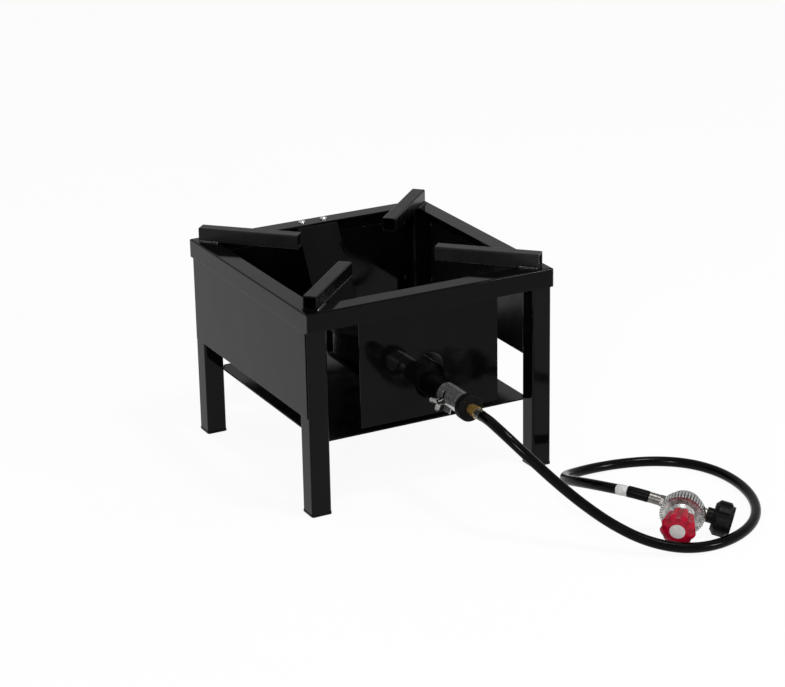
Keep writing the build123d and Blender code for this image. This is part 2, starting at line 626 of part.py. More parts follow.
def wrap(path, start, end, gap, wall):
    """Sleeve around the hose between two distances from its far end."""
    length = path.length
    part = path.trim(1 - end / length, 1 - start / length)
    place = Plane(part @ 0, z_dir=part % 0)
    inner = HOSE_RADIUS + gap
    return sweep(place * (Circle(inner + wall) - Circle(inner)), path=part)


def make_hose(port):
    """Hose of straight runs and tangent bends, with its sleeve and tag."""
    end = port.origin - port.z_dir * (OUTLET_BOSS_END + OUTLET_HEX + PRESS_GAP + OUTLET_FERRULE)
    first = Vector(0, -HOSE_START, TUBE_HEIGHT)
    route = [first, first - Vector(0, HOSE_FIRST_RUN, 0)]
    route += [Vector(*p) for p in HOSE_ROUTE]
    route += [end - port.z_dir * HOSE_STRAIGHT, end]
    radii = []
    for before, at, after in zip(route, route[1:], route[2:]):
        turn = radians((at - before).get_angle(after - at))
        radii.append(CORNER_SHARE * min((at - before).length, (after - at).length) / tan(turn / 2))
    path = FilletPolyline(*route, radius=radii).wire()
    start = Plane(path @ 0, z_dir=path % 0)
    section = start * (Circle(HOSE_RADIUS) - Circle(HOSE_BORE))
    hose = sweep(section, path=path)
    ring = pi * (HOSE_RADIUS ** 2 - HOSE_BORE ** 2)
    print("hose radii", [round(r) for r in radii])
    print("hose length %.1f" % path.length)
    print("hose volume %.0f, section x length %.0f" % (hose.volume, ring * path.length))
    print("hose control points", [tuple(round(c, 2) for c in p) for p in route])
    NODES["gas_hose"] = hose
    NODES["hose_sleeve"] = wrap(path, 0, SLEEVE_LENGTH, HOSE_WRAP_GAP, SLEEVE_WALL)
    NODES["hose_tag"] = wrap(path, SLEEVE_LENGTH, SLEEVE_LENGTH + TAG_LENGTH, HOSE_WRAP_GAP, TAG_WALL)


def make_regulator_case(axis, port, back_port):
    """Body, bonnet, crimp ring and diaphragm."""
    chamber_floor = -BODY_DEPTH + BODY_WALL
    body = turned((
        (0, -BODY_DEPTH), (BODY_BACK_RADIUS, -BODY_DEPTH), (BODY_RADIUS - BODY_TAPER, chamber_floor),
        (BODY_RADIUS, -BODY_FLANGE - BODY_NECK), (BODY_RADIUS, -BODY_FLANGE),
        (BODY_FLANGE_RADIUS, -BODY_FLANGE), (BODY_FLANGE_RADIUS, 0), (CHAMBER_RADIUS, 0),
        (CHAMBER_RADIUS, chamber_floor), (0, chamber_floor)), axis)
    wall_mid = (CHAMBER_RADIUS + BODY_RADIUS) / 2
    chamber = rod(CHAMBER_RADIUS, chamber_floor, 0, axis)
    body += rod(BOSS_RADIUS, wall_mid, INLET_BOSS_END, port) - chamber
    body += rod(BOSS_RADIUS, wall_mid, OUTLET_BOSS_END, back_port) - chamber
    entry = CHAMBER_RADIUS - PORT_ENTRY
    body -= rod(PORT_BORE, entry, INLET_BOSS_END, port)
    NODES["regulator_body"] = body - rod(PORT_BORE, entry, OUTLET_BOSS_END, back_port)

    top = DIAPHRAGM + BONNET_FLANGE
    roof = BONNET_TOP - BONNET_ROOF
    room_start = DIAPHRAGM + SPRING_ROOM_STEP
    bore = SCREW_RADIUS + SCREW_RUN
    bonnet = turned((
        (BODY_FLANGE_RADIUS, DIAPHRAGM), (BODY_FLANGE_RADIUS, top), (BONNET_SHOULDER, top),
        (BONNET_RADIUS, top + BONNET_SLOPE), (BONNET_RADIUS, BONNET_TOP - BONNET_ROUND),
        (BONNET_RADIUS - BONNET_ROUND, BONNET_TOP), (bore, BONNET_TOP), (bore, roof), (SPRING_ROOM, roof),
        (SPRING_ROOM, room_start), (SPRING_ROOM + SPRING_ROOM_FLARE, DIAPHRAGM)), axis)
    half = KEY_WIDTH / 2
    key = slab(SPRING_ROOM - KEY_DEPTH, SPRING_ROOM + KEY_ROOT, -half, half, room_start, roof)
    NODES["regulator_bonnet"] = bonnet + axis * key

    inner = BODY_FLANGE_RADIUS + RING_FIT
    outer = inner + RING_WALL
    lap = outer - RING_LAP
    edge = top + RING_LIP
    ring = turned((
        (lap, -BODY_FLANGE - RING_LIP), (outer, -BODY_FLANGE - RING_LIP), (outer, edge),
        (lap, edge), (lap, top), (inner, top), (inner, -BODY_FLANGE), (lap, -BODY_FLANGE)), axis)
    side = NOTCH_DEPTH * sqrt(2)
    notch = Pos(outer, 0, edge) * Rot(0, 0, 45) * Box(side, side, 2 * NOTCH_LENGTH)
    for i in range(RING_NOTCHES):
        ring -= axis * (Rot(0, 0, 360 * i / RING_NOTCHES) * notch)
    NODES["crimp_ring"] = ring

    NODES["diaphragm"] = rod(BODY_FLANGE_RADIUS, 0, DIAPHRAGM, axis)
    NODES["diaphragm_plate"] = rod(PLATE_RADIUS, DIAPHRAGM, DIAPHRAGM + PLATE_THICK, axis)


def make_regulator_valve(axis):
    """Lever, pivot pin and valve disc in the chamber below the diaphragm."""
    disc_face = NOZZLE_TIP - DISC_GAP
    disc_back = disc_face - DISC_THICK
    disc_place = axis * Plane((0, 0, -PORT_DEPTH), x_dir=(0, 1, 0), z_dir=(1, 0, 0))
    NODES["valve_disc"] = rod(DISC_RADIUS, disc_back, disc_face, disc_place)
    arm_top = -LEVER_GAP
    arm_mid = arm_top - LEVER_THICK / 2
    half = LEVER_WIDTH / 2
    post = slab(disc_back - LEVER_THICK, disc_back, -half, half, -PORT_DEPTH - DISC_RADIUS, arm_top)
    arm = slab(disc_back - LEVER_ARM, disc_back, -half, half, arm_top - LEVER_THICK, arm_top)
    eye_side = 2 * (PIN_RADIUS + PIN_EDGE)
    eye = slab(disc_back - eye_side, disc_back, -half, half, arm_mid - eye_side, arm_mid)
    pin_place = axis * Plane(
        (disc_back - eye_side / 2, 0, arm_mid - eye_side / 2), x_dir=(1, 0, 0), z_dir=(0, -1, 0))
    lever = axis * (post + arm + eye)
    NODES["valve_lever"] = lever - rod(PIN_RADIUS + RUN_GAP, -LEVER_WIDTH, LEVER_WIDTH, pin_place)
    NODES["valve_pin"] = rod(PIN_RADIUS, -PIN_LENGTH / 2, PIN_LENGTH / 2, pin_place)


def coil(radius, wire, start, rise, turns, place):
    """Spring of quarter-turn arcs climbing from start."""
    def point(quarter):
        a = quarter * pi / 2
        return (radius * cos(a), radius * sin(a), start + rise * quarter / (4 * turns))
    arcs = [ThreePointArc(point(i), point(i + 0.5), point(i + 1)) for i in range(4 * turns)]
    path = Wire(arcs)
    return place * sweep(Plane(path @ 0, z_dir=path % 0) * Circle(wire), path=path)


def make_regulator_control(axis):
    """Spring, its seat, the adjusting screw, the knob and the knob's label."""
    roof = BONNET_TOP - BONNET_ROOF
    collar_top = roof - SCREW_GAP
    collar_bottom = collar_top - COLLAR_THICK
    seat_top = collar_bottom - SCREW_GAP
    seat_bottom = seat_top - SEAT_THICK
    seat_radius = SPRING_ROOM - SEAT_GAP
    seat = rod(seat_radius, seat_bottom, seat_top, axis)
    seat -= rod(SCREW_RADIUS + SCREW_RUN, seat_bottom, seat_top, axis)
    keyway = KEY_WIDTH / 2 + SEAT_GAP
    deep = SPRING_ROOM - KEY_DEPTH - SEAT_GAP
    NODES["spring_seat"] = seat - axis * slab(deep, SPRING_ROOM, -keyway, keyway, seat_bottom, seat_top)

    low = DIAPHRAGM + PLATE_THICK + SPRING_WIRE + SPRING_GAP
    rise = seat_bottom - SPRING_WIRE - SPRING_GAP - low
    NODES["pressure_spring"] = coil(SPRING_RADIUS, SPRING_WIRE, low, rise, SPRING_TURNS, axis)
    print("spring end %.3f, seat %.3f to %.3f" % (low, seat_bottom, seat_top))

    head_start = BONNET_TOP + SCREW_GAP
    screw = rod(SCREW_RADIUS, SCREW_TIP, head_start, axis)
    screw += rod(COLLAR_RADIUS, collar_bottom, collar_top, axis)
    head_end = KNOB_ROOM_END + SCREW_IN_KNOB
    NODES["adjusting_screw"] = screw + rod(SCREW_HEAD_RADIUS, head_start, head_end, axis)

    outline = Circle(KNOB_VALLEY)
    lobe = Pos(KNOB_RADIUS - KNOB_LOBE_RADIUS, 0) * Circle(KNOB_LOBE_RADIUS)
    for i in range(KNOB_LOBES):
        outline += Rot(0, 0, 360 * i / KNOB_LOBES) * lobe
    back = Pos(0, 0, KNOB_START) * scale(outline, by=KNOB_BACK_SCALE)
    knob = axis * loft([back, Pos(0, 0, KNOB_END) * outline], ruled=True)
    full = KNOB_RADIUS + KNOB_TRIM
    shoulder = KNOB_END - KNOB_SHOULDER
    width = full - KNOB_FACE_RADIUS
    middle = (KNOB_FACE_RADIUS + width / sqrt(2), 0, shoulder + KNOB_SHOULDER / sqrt(2))
    front = ThreePointArc((full, 0, shoulder), middle, (KNOB_FACE_RADIUS, 0, KNOB_END))
    rest = Polyline(
        (KNOB_FACE_RADIUS, 0, KNOB_END), (0, 0, KNOB_END), (0, 0, KNOB_START), (full, 0, KNOB_START),
        (full, 0, shoulder))
    knob &= axis * revolve(make_face([front, rest]), Axis.Z)
    knob -= rod(KNOB_ROOM_RADIUS, KNOB_START, KNOB_ROOM_END, axis)
    knob -= rod(SCREW_HEAD_RADIUS + PRESS_GAP, KNOB_START, head_end, axis)
    sunk = KNOB_END - LABEL_SUNK
    NODES["regulator_knob"] = knob - rod(LABEL_RADIUS + LABEL_FIT, sunk, KNOB_END + CUT_PAST, axis)
    NODES["knob_label"] = rod(LABEL_RADIUS, sunk, sunk + LABEL_THICK, axis)


def make_regulator_inlet(port):
    """Nipple, its nose seal and the coupling nut that turns on it."""
    wall = NUT_SHOULDER + NUT_BACK
    flange = wall + NUT_GAP
    nose = flange + NIPPLE_FLANGE
    fitted = PORT_BORE - PRESS_GAP
    inner = CHAMBER_RADIUS - FITTING_INSET
    tip = NIPPLE_NOSE_RADIUS - NIPPLE_CHAMFER
    NODES["inlet_nipple"] = turned((
        (NOZZLE_BORE, NOZZLE_TIP), (NOZZLE_RADIUS, NOZZLE_TIP), (NOZZLE_RADIUS, inner), (fitted, inner),
        (fitted, INLET_BOSS_END), (NIPPLE_RADIUS, INLET_BOSS_END), (NIPPLE_RADIUS, flange),
        (NIPPLE_FLANGE_RADIUS, flange), (NIPPLE_FLANGE_RADIUS, nose), (NIPPLE_NOSE_RADIUS, nose),
        (NIPPLE_NOSE_RADIUS, NIPPLE_END - NIPPLE_CHAMFER), (tip, NIPPLE_END), (NIPPLE_BORE, NIPPLE_END),
        (NIPPLE_BORE, CHAMBER_RADIUS + FITTING_INSET), (NOZZLE_BORE, CHAMBER_RADIUS)), port)
    ring = NIPPLE_NOSE_RADIUS + SEAL_GAP
    edge = ring + SEAL_WALL
    seal_end = SEAL_AT + SEAL_LENGTH
    NODES["nose_seal"] = turned((
        (ring, SEAL_AT), (edge - SEAL_ROUND, SEAL_AT), (edge, SEAL_AT + SEAL_ROUND),
        (edge, seal_end - SEAL_ROUND), (edge - SEAL_ROUND, seal_end), (ring, seal_end)), port)

    nut = rod(NUT_NECK_RADIUS, NUT_START, wall, port)
    nut += rod(NUT_RADIUS, NUT_SHOULDER, NUT_END, port)
    half = NUT_RIB_WIDTH / 2
    rib = slab(NUT_SOCKET_RADIUS + CUT_PAST, NUT_RIB_RADIUS + CUT_PAST, -half, half, NUT_SHOULDER, NUT_END)
    for i in range(NUT_RIBS):
        nut += port * (Rot(0, 0, 360 * (i + 0.5) / NUT_RIBS) * rib)
    front = NUT_END - NUT_FRONT_RING
    nut &= turned((
        (0, NUT_START), (NUT_NECK_RADIUS, NUT_START), (NUT_NECK_RADIUS, NUT_SHOULDER),
        (NUT_BACK_RADIUS, NUT_SHOULDER), (NUT_RIB_RADIUS, NUT_SHOULDER + NUT_BACK_SLOPE),
        (NUT_RIB_RADIUS, front - NUT_FRONT_SLOPE), (NUT_FRONT_RADIUS, front),
        (NUT_FRONT_RADIUS, NUT_END), (0, NUT_END)), port)
    nut -= rod(NUT_SOCKET_RADIUS, wall, NUT_END, port)
    NODES["coupling_nut"] = nut - rod(NIPPLE_RADIUS + RUN_GAP, NUT_START, wall, port)


def make_regulator_outlet(back_port):
    """Outlet fitting and the hose's last ferrule."""
    fitted = PORT_BORE - PRESS_GAP
    hex_end = OUTLET_BOSS_END + OUTLET_HEX
    fitting = hexagon(OUTLET_FLATS, OUTLET_BOSS_END, hex_end, back_port)
    inner = CHAMBER_RADIUS + FITTING_INSET
    stem_end = hex_end + OUTLET_STEM
    fitting += rod(fitted, inner, OUTLET_BOSS_END, back_port)
    fitting += rod(OUTLET_STEM_RADIUS, hex_end, stem_end, back_port)
    NODES["outlet_fitting"] = fitting - rod(OUTLET_BORE, inner, stem_end, back_port)
    start = hex_end + PRESS_GAP
    sleeve = ferrule_sleeve(start, start + OUTLET_FERRULE, back_port)
    bore = OUTLET_STEM_RADIUS + PRESS_GAP
    NODES["regulator_ferrule"] = sleeve - rod(bore, start, start + OUTLET_FERRULE, back_port)


def regulator_axes():
    """Places for the knob's axis, the inlet port and the outlet port."""
    heading = radians(REG_HEADING)
    pitch = radians(REG_PITCH)
    knob = Vector(cos(heading) * cos(pitch), sin(heading) * cos(pitch), sin(pitch))
    level = Vector(0, 0, 1).cross(knob).normalized()
    inlet = level.rotate(Axis((0, 0, 0), knob), REG_ROLL)
    axis = Plane(REG_CENTRE, x_dir=inlet, z_dir=knob)
    root = Vector(*REG_CENTRE) - knob * PORT_DEPTH
    port = Plane(root, x_dir=knob, z_dir=inlet)
    back_port = Plane(root, x_dir=knob, z_dir=inlet * -1)
    print("knob axis", tuple(round(c, 6) for c in knob))
    print("inlet axis", tuple(round(c, 6) for c in inlet))
    print("port root", tuple(round(c, 4) for c in root))
    return axis, port, back_port


TUBE = Plane((0, 0, TUBE_HEIGHT), x_dir=(1, 0, 0), z_dir=(0, -1, 0))
AXIS, PORT, BACK_PORT = regulator_axes()
make_stand()
make_burner_mount()
make_burner(TUBE)
make_shutter(TUBE)
make_gas_inlet(TUBE)
make_hose(PORT)
make_regulator_case(AXIS, PORT, BACK_PORT)
make_regulator_valve(AXIS)
make_regulator_control(AXIS)
make_regulator_inlet(PORT)
make_regulator_outlet(BACK_PORT)

os.makedirs("parts", exist_ok=True)
for name, shape in NODES.items():
    export_step(shape, "parts/" + name + ".step")
    box = shape.bounding_box()
    print("%-28s volume %10.1f  z %7.2f to %7.2f" % (name, shape.volume, box.min.Z, box.max.Z))
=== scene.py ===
# %% [markdown]
# # A gas burner on a square stand
# The imported model is loaded first. It is the fixed frame: every piece that is added later is
# placed in the same metres, so nothing has to be fitted by eye.

# %% Load the frame
import json
import math

import bpy
import numpy as np
from mathutils import Matrix, Vector


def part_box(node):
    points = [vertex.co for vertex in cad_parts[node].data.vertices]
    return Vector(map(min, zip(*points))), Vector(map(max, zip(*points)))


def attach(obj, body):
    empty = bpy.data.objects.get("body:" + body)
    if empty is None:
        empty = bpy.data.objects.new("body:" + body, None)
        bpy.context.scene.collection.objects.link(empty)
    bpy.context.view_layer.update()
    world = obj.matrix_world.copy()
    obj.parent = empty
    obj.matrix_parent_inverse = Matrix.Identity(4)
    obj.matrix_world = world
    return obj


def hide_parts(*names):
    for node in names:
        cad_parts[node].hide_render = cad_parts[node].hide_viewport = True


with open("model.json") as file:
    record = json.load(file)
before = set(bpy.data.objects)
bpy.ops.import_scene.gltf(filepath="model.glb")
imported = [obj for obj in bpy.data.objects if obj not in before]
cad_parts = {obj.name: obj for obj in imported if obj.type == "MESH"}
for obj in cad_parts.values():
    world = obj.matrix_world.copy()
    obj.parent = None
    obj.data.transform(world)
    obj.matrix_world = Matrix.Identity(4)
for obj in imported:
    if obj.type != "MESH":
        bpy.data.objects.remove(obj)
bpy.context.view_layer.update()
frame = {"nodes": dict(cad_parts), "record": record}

nodes = frame["nodes"]

# %% [markdown]
# ## Camera
# The picture was taken from the front left, about three and a half metres away, with a long lens.
# A long lens keeps the stand's edges nearly parallel. The camera is placed by its direction,
# distance and aim point, and turned a degree about its own axis, because the picture leans.

# %% Camera
IMAGE_WIDTH = 785
FOCAL_PIXELS = 2542.8
SENSOR = 36.0
VIEW_AZIMUTH = math.radians(-27.475)
VIEW_ELEVATION = math.radians(20.28)
VIEW_ROLL = math.radians(-1.071)
VIEW_DISTANCE = 3.4165
VIEW_REACH = 200.0
AIM = Vector((0.03434, 0.0, 0.14076))


def place_camera():
    """Puts the camera on the line from the aim point, back = (sin a cos e, -cos a cos e, sin e)."""
    a, e = VIEW_AZIMUTH, VIEW_ELEVATION
    back = Vector((math.sin(a) * math.cos(e), -math.cos(a) * math.cos(e), math.sin(e)))
    data = bpy.data.cameras.new("view")
    data.sensor_width = SENSOR
    data.lens = FOCAL_PIXELS * SENSOR / IMAGE_WIDTH
    data.clip_end = VIEW_REACH
    camera = bpy.data.objects.new("view", data)
    bpy.context.scene.collection.objects.link(camera)
    turn = (-back).to_track_quat("-Z", "Y").to_matrix() @ Matrix.Rotation(VIEW_ROLL, 3, "Z")
    camera.matrix_world = Matrix.Translation(AIM + back * VIEW_DISTANCE) @ turn.to_4x4()
    bpy.context.scene.camera = camera
    return camera


camera = place_camera()
print("camera at", [round(v, 3) for v in camera.location], "lens", round(camera.data.lens, 1))

# %% [markdown]
# ## Hose
# The hose leaves the brass fitting straight forward, falls to the ground, makes one loop and
# comes back to the regulator. A stiff rubber hose never has a corner, so its line is one NURBS
# spline with the route's points as control points. A surface is then carried along that line:
# at each point of the line a circle is drawn in the plane across it.

# %% Hose line
HOSE_RADIUS = 0.0066
ROUTE_STEPS = 12
HOSE_POINTS = np.array([
    (0, -303, 148), (0, -319, 148), (1.6, -335.5, 144.1), (7, -351.9, 135.9), (16.9, -368.1, 122.6),
    (31.8, -385.1, 103.9), (50.7, -404.3, 81.5), (73.3, -426.6, 57.8), (98.6, -451.4, 35.9),
    (127.5, -477.4, 18.9), (162, -500.1, 9.5), (201, -510.5, 6.9), (242.6, -504.6, 6.9),
    (281.4, -484.5, 6.9), (312.7, -452.9, 6.9), (334.7, -411.6, 6.9), (345.7, -364.3, 6.9),
    (343, -317.3, 6.9), (324.1, -277.6, 6.9), (289.9, -250, 6.9), (247.7, -235.7, 6.9),
    (206.8, -233.7, 8.3), (172.1, -241.2, 11.5), (147.3, -258, 18.9), (133.3, -284.1, 26.6),
    (128.7, -315.1, 36.6), (130.6, -348.6, 45.3), (138.8, -381.7, 50.5), (154.62, -407.96, 51.33),
    (170.15, -421.17, 46.3)]) / 1000


def spline_points(points):
    """Points on the NURBS line of order 3 that the control points give, as an n by 3 array."""
    curve = bpy.data.curves.new("route", "CURVE")
    curve.dimensions = "3D"
    curve.resolution_u = ROUTE_STEPS
    spline = curve.splines.new("NURBS")
    spline.points.add(len(points) - 1)
    spline.points.foreach_set("co", np.c_[points, np.ones(len(points))].astype(np.float32).ravel())
    spline.order_u = 3
    spline.use_endpoint_u = True
    holder = bpy.data.objects.new("route", curve)
    bpy.context.scene.collection.objects.link(holder)
    line = bpy.data.meshes.new_from_object(holder)
    out = np.empty(3 * len(line.vertices), np.float32)
    line.vertices.foreach_get("co", out)
    bpy.data.objects.remove(holder)
    return out.reshape(-1, 3).astype(float)


hose_line = spline_points(HOSE_POINTS)
steps = np.linalg.norm(np.diff(hose_line, axis=0), axis=1)
hose_run = np.r_[0.0, np.cumsum(steps)]
hose_length = hose_run[-1]
print("hose length", round(hose_length, 4), "points", len(hose_line))

# %% [markdown]
# ## Surfaces as meshes
# A surface on a grid is a table of points with rows along the path and columns around it. Four
# neighbours make one face. A closed grid joins its last column to its first.

# %% Grid faces and mesh objects


def grid_faces(rows, columns):
    """Quads of a rows by columns grid whose last column is joined to its first, facing outwards
    where the columns run clockwise seen along the rows."""
    r = np.arange(rows - 1)[:, None]
    c = np.arange(columns)[None, :]
    d = (c + 1) % columns
    corners = (r * columns + d, r * columns + c, (r + 1) * columns + c, (r + 1) * columns + d)
    return np.stack(np.broadcast_arrays(*corners), -1).reshape(-1, 4)


def add_mesh(name, points, faces, body, finish_slot):
    """A smooth mesh object at the origin that rides on a body; finish_slot is not used."""
    mesh = bpy.data.meshes.new(name)
    mesh.from_pydata(points.tolist(), [], faces)
    mesh.polygons.foreach_set("use_smooth", np.full(len(mesh.polygons), True))
    mesh.update()
    made = bpy.data.objects.new(name, mesh)
    bpy.context.scene.collection.objects.link(made)
    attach(made, body)
    return made


def carried_ring(line, radius, around=40, up=(0.0, 0.0, 1.0)):
    """Ring carried along a line: p + r (cos t side + sin t over), where side is across the line
    and up, and over is across both. The radius is one number, one for each point of the line, or
    a table with a column for each step around. Gives the points and the faces with both ends shut."""
    along = np.gradient(line, axis=0)
    along /= np.linalg.norm(along, axis=1)[:, None]
    side = np.cross(along, up)
    side /= np.linalg.norm(side, axis=1)[:, None]
    over = np.cross(side, along)
    t = np.linspace(0, 2 * np.pi, around, endpoint=False)[None, :, None]
    ring = np.cos(t) * side[:, None] + np.sin(t) * over[:, None]
    radius = np.asarray(radius, float)
    radius = radius[:, None] if radius.ndim == 1 else radius
    table = np.broadcast_to(radius, (len(line), around))
    points = (line[:, None] + table[..., None] * ring).reshape(-1, 3)
    last = (len(line) - 1) * around
    ends = [list(range(around)), list(range(last + around - 1, last - 1, -1))]
    return points, grid_faces(len(line), around).tolist() + ends


hose = add_mesh("hose", *carried_ring(hose_line, HOSE_RADIUS), "stand", "hose_rubber")
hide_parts("gas_hose")
print("hose faces", len(hose.data.polygons))

# %% [markdown]
# ## Sleeve and paper tag on the hose
# Next to the regulator a short rubber sleeve is pushed over the hose, and a paper label is
# wrapped around it. Both follow the hose's own line, so they are rings carried along its last
# stretch. The sleeve's ends are rounded. The paper overlaps itself, so its radius grows by one
# paper thickness on the way round and drops back at the overlap.

# %% Sleeve and tag
SLEEVE_LENGTH = 0.027
SLEEVE_STEPS = 82
SLEEVE_WALL = 0.0007
SLEEVE_RADIUS = HOSE_RADIUS + SLEEVE_WALL
TAG_LENGTH = 0.0143
TAG_STEPS = 24
TAG_AROUND = 60
PAPER = 0.00025
TAG_RADIUS = HOSE_RADIUS + PAPER


def stretch_of_hose(start, end, count):
    """Points of the hose's line between two distances from the hose's far end."""
    at = hose_length - np.linspace(end, start, count)
    return np.stack([np.interp(at, hose_run, hose_line[:, k]) for k in range(3)], -1)


def rounded_ends(length, count, full, edge):
    """Radius along a sleeve: full in the middle, and a quarter circle of size edge at each end."""
    s = np.linspace(0, length, count)
    inside = np.clip(np.minimum(s, length - s) / edge, 0, 1)
    return full - edge + edge * np.sqrt(1 - (1 - inside) ** 2)


sleeve_shape = rounded_ends(SLEEVE_LENGTH, SLEEVE_STEPS, SLEEVE_RADIUS, SLEEVE_WALL)
sleeve_line = stretch_of_hose(0.0, SLEEVE_LENGTH, SLEEVE_STEPS)
sleeve = add_mesh("sleeve", *carried_ring(sleeve_line, sleeve_shape), "stand", "hose_rubber")
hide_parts("hose_sleeve")

tag_line = stretch_of_hose(SLEEVE_LENGTH, SLEEVE_LENGTH + TAG_LENGTH, TAG_STEPS)
wrap = TAG_RADIUS + PAPER * np.linspace(0, 1, TAG_AROUND)
tag_shape = np.broadcast_to(wrap, (TAG_STEPS, TAG_AROUND))
tag = add_mesh("tag", *carried_ring(tag_line, tag_shape, TAG_AROUND), "stand", "white_tag")
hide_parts("hose_tag")
print("sleeve faces", len(sleeve.data.polygons), "tag faces", len(tag.data.polygons))

# %% [markdown]

# %% [markdown]
# ## Welds
# The stand is welded. Beads lie in the corner between each pot support and the rim, and short
# tacks hold the panels and the shelf. A bead is a ring carried along a line whose radius ripples,
# one ripple for each drop of metal, and shrinks nearly to nothing at both ends.

# %% Weld beads
BEAD_RADIUS = 0.0028
TACK_RADIUS = 0.0016
RIPPLE = 0.0024
RIPPLE_SHARE = 0.1
RIPPLE_STEPS = 8
LEAST_STEPS = 16
BEAD_AROUND = 14
BLUNT_END = 0.001
STEEP = 0.9


def bead(start, end, radius):
    """Ring carried from start to end with r = radius (1 + share sin(2 pi s / ripple)), the ends
    round and nearly shut."""
    start, end = np.array(start), np.array(end)
    length = np.linalg.norm(end - start)
    t = np.linspace(0, 1, max(LEAST_STEPS, int(length / RIPPLE * RIPPLE_STEPS)))
    ripple = 1 + RIPPLE_SHARE * np.sin(2 * np.pi * t * length / RIPPLE)
    round_end = np.clip(np.minimum(t, 1 - t) * length / radius, 0.0, 1.0)
    shape = radius * ripple * np.sqrt(BLUNT_END + 1 - (1 - round_end) ** 2)
    up = (0.0, 0.0, 1.0) if abs(end - start)[2] < STEEP * length else (1.0, 0.0, 0.0)
    return carried_ring(start + t[:, None] * (end - start), shape, BEAD_AROUND, up)


def add_beads(name, lines, radius):
    """All beads of one kind as one mesh."""
    points, faces, count = [], [], 0
    for start, end in lines:
        p, f = bead(start, end, radius)
        faces += [[corner + count for corner in face] for face in f]
        points.append(p)
        count += len(p)
    return add_mesh(name, np.concatenate(points), faces, "stand", "black_paint")


rim_low, rim_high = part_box("rim_left")
RIM_TOP = rim_high[2]
RIM_HALF = rim_high[1]
SUPPORT_HALF = 0.0095
WELD_FROM = 0.2065
WELD_TO = 0.2345
diagonals = [np.array((math.cos(a), math.sin(a), 0)) for a in np.radians((45, 135, 225, 315))]
support_lines = []
for d in diagonals:
    for turn in (-1, 1):
        across = turn * SUPPORT_HALF * np.array((-d[1], d[0], 0)) + np.array((0, 0, RIM_TOP))
        support_lines.append((WELD_FROM * d + across, WELD_TO * d + across))
support_welds = add_beads("support_welds", support_lines, BEAD_RADIUS)
print("support beads", len(support_lines))

# %% [markdown]
# The tacks are short beads of the same kind: in the corners between panels and legs, under the rim
# in the middle of each side panel, and where the shelf meets the legs. The rim's mitres are welded
# along the outer corner and ground down, so only a thin rounded line is left there.

# %% Tacks and corner welds
leg_low, leg_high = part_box("leg_back_right")
LEG_IN = leg_low[0]
LEG_OUT = leg_high[0]
PANEL_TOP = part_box("left_panel")[1][2]
SHELF_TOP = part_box("bottom_shelf")[1][2]
TACK_LENGTH = 0.007
TACK_HEIGHTS = (0.160, 0.241)
TACK_ASIDE = 0.001
CORNER_WELD = 0.0008
upright = np.array((0, 0, TACK_LENGTH))
tack_lines = []
for sx in (-1, 1):
    for sy in (-1, 1):
        for z in TACK_HEIGHTS:
            side_foot = np.array((sx * LEG_OUT, sy * LEG_IN, z))
            tack_lines.append((side_foot, side_foot + upright))
        corner = np.array((sx * LEG_IN, sy * LEG_IN, SHELF_TOP))
        tack_lines.append((corner, corner + np.array((sx * TACK_LENGTH / 2, 0, 0))))
        tack_lines.append((corner, corner + np.array((0, sy * TACK_LENGTH / 2, 0))))
    for z in TACK_HEIGHTS:
        back_foot = np.array((sx * LEG_IN, LEG_OUT, z))
        tack_lines.append((back_foot, back_foot + upright))
    middle = np.array((sx * LEG_OUT, TACK_ASIDE, PANEL_TOP))
    tack_lines.append((middle, middle + np.array((0, TACK_LENGTH, 0))))
tack_welds = add_beads("tack_welds", tack_lines, TACK_RADIUS)

corner_at = RIM_HALF - CORNER_WELD
corner_lines = [
    (np.array((sx * corner_at, sy * corner_at, rim_low[2] + CORNER_WELD)),
     np.array((sx * corner_at, sy * corner_at, RIM_TOP - CORNER_WELD)))
    for sx in (-1, 1) for sy in (-1, 1)]
corner_welds = add_beads("corner_welds", corner_lines, CORNER_WELD * math.sqrt(2))
print("tacks", len(tack_lines), "corner welds", len(corner_lines))

# %% [markdown]
# ## Finishes
# Every finish is a small node tree on one shader. It could be an image, but a picture has one
# scale and needs an unwrapped surface. Noise that is read at the point's own place on the object
# has no seam and keeps its size in millimetres. The helpers below make the parts that every finish
# needs: sums, grain, a range of numbers, a mix of two colours, relief and softly rounded edges.

# %% Finish helpers
GRAIN_ROUGHNESS = 0.55
EDGE_SAMPLES = 4


def new_finish(name):
    """Empty finish: the material, its node tree and its shader."""
    finish = bpy.data.materials.new(name)
    finish.use_nodes = True
    tree = finish.node_tree
    return finish, tree, tree.nodes["Principled BSDF"]


def step(tree, kind, inputs=(), **settings):
    """One node of a kind, with settings and with plain values on its inputs."""
    made = tree.nodes.new("ShaderNode" + kind)
    for key, value in settings.items():
        setattr(made, key, value)
    for key, value in dict(inputs).items():
        made.inputs[key].default_value = value
    return made


def math_step(tree, operation, first, second=None):
    """One sum: the operation on a source and on a source or number."""
    made = step(tree, "Math", operation=operation)
    tree.links.new(first, made.inputs[0])
    if isinstance(second, float):
        made.inputs[1].default_value = second
    elif second is not None:
        tree.links.new(second, made.inputs[1])
    return made.outputs["Value"]


def place_on_object(tree):
    """The point's place on the object, in metres."""
    return step(tree, "TexCoord").outputs["Object"]


def grain(tree, size, detail):
    """Cloudy noise whose clouds are about size metres wide."""
    cloud = step(tree, "TexNoise", {"Scale": 1 / size, "Detail": detail, "Roughness": GRAIN_ROUGHNESS})
    tree.links.new(place_on_object(tree), cloud.inputs["Vector"])
    return cloud.outputs["Fac"]


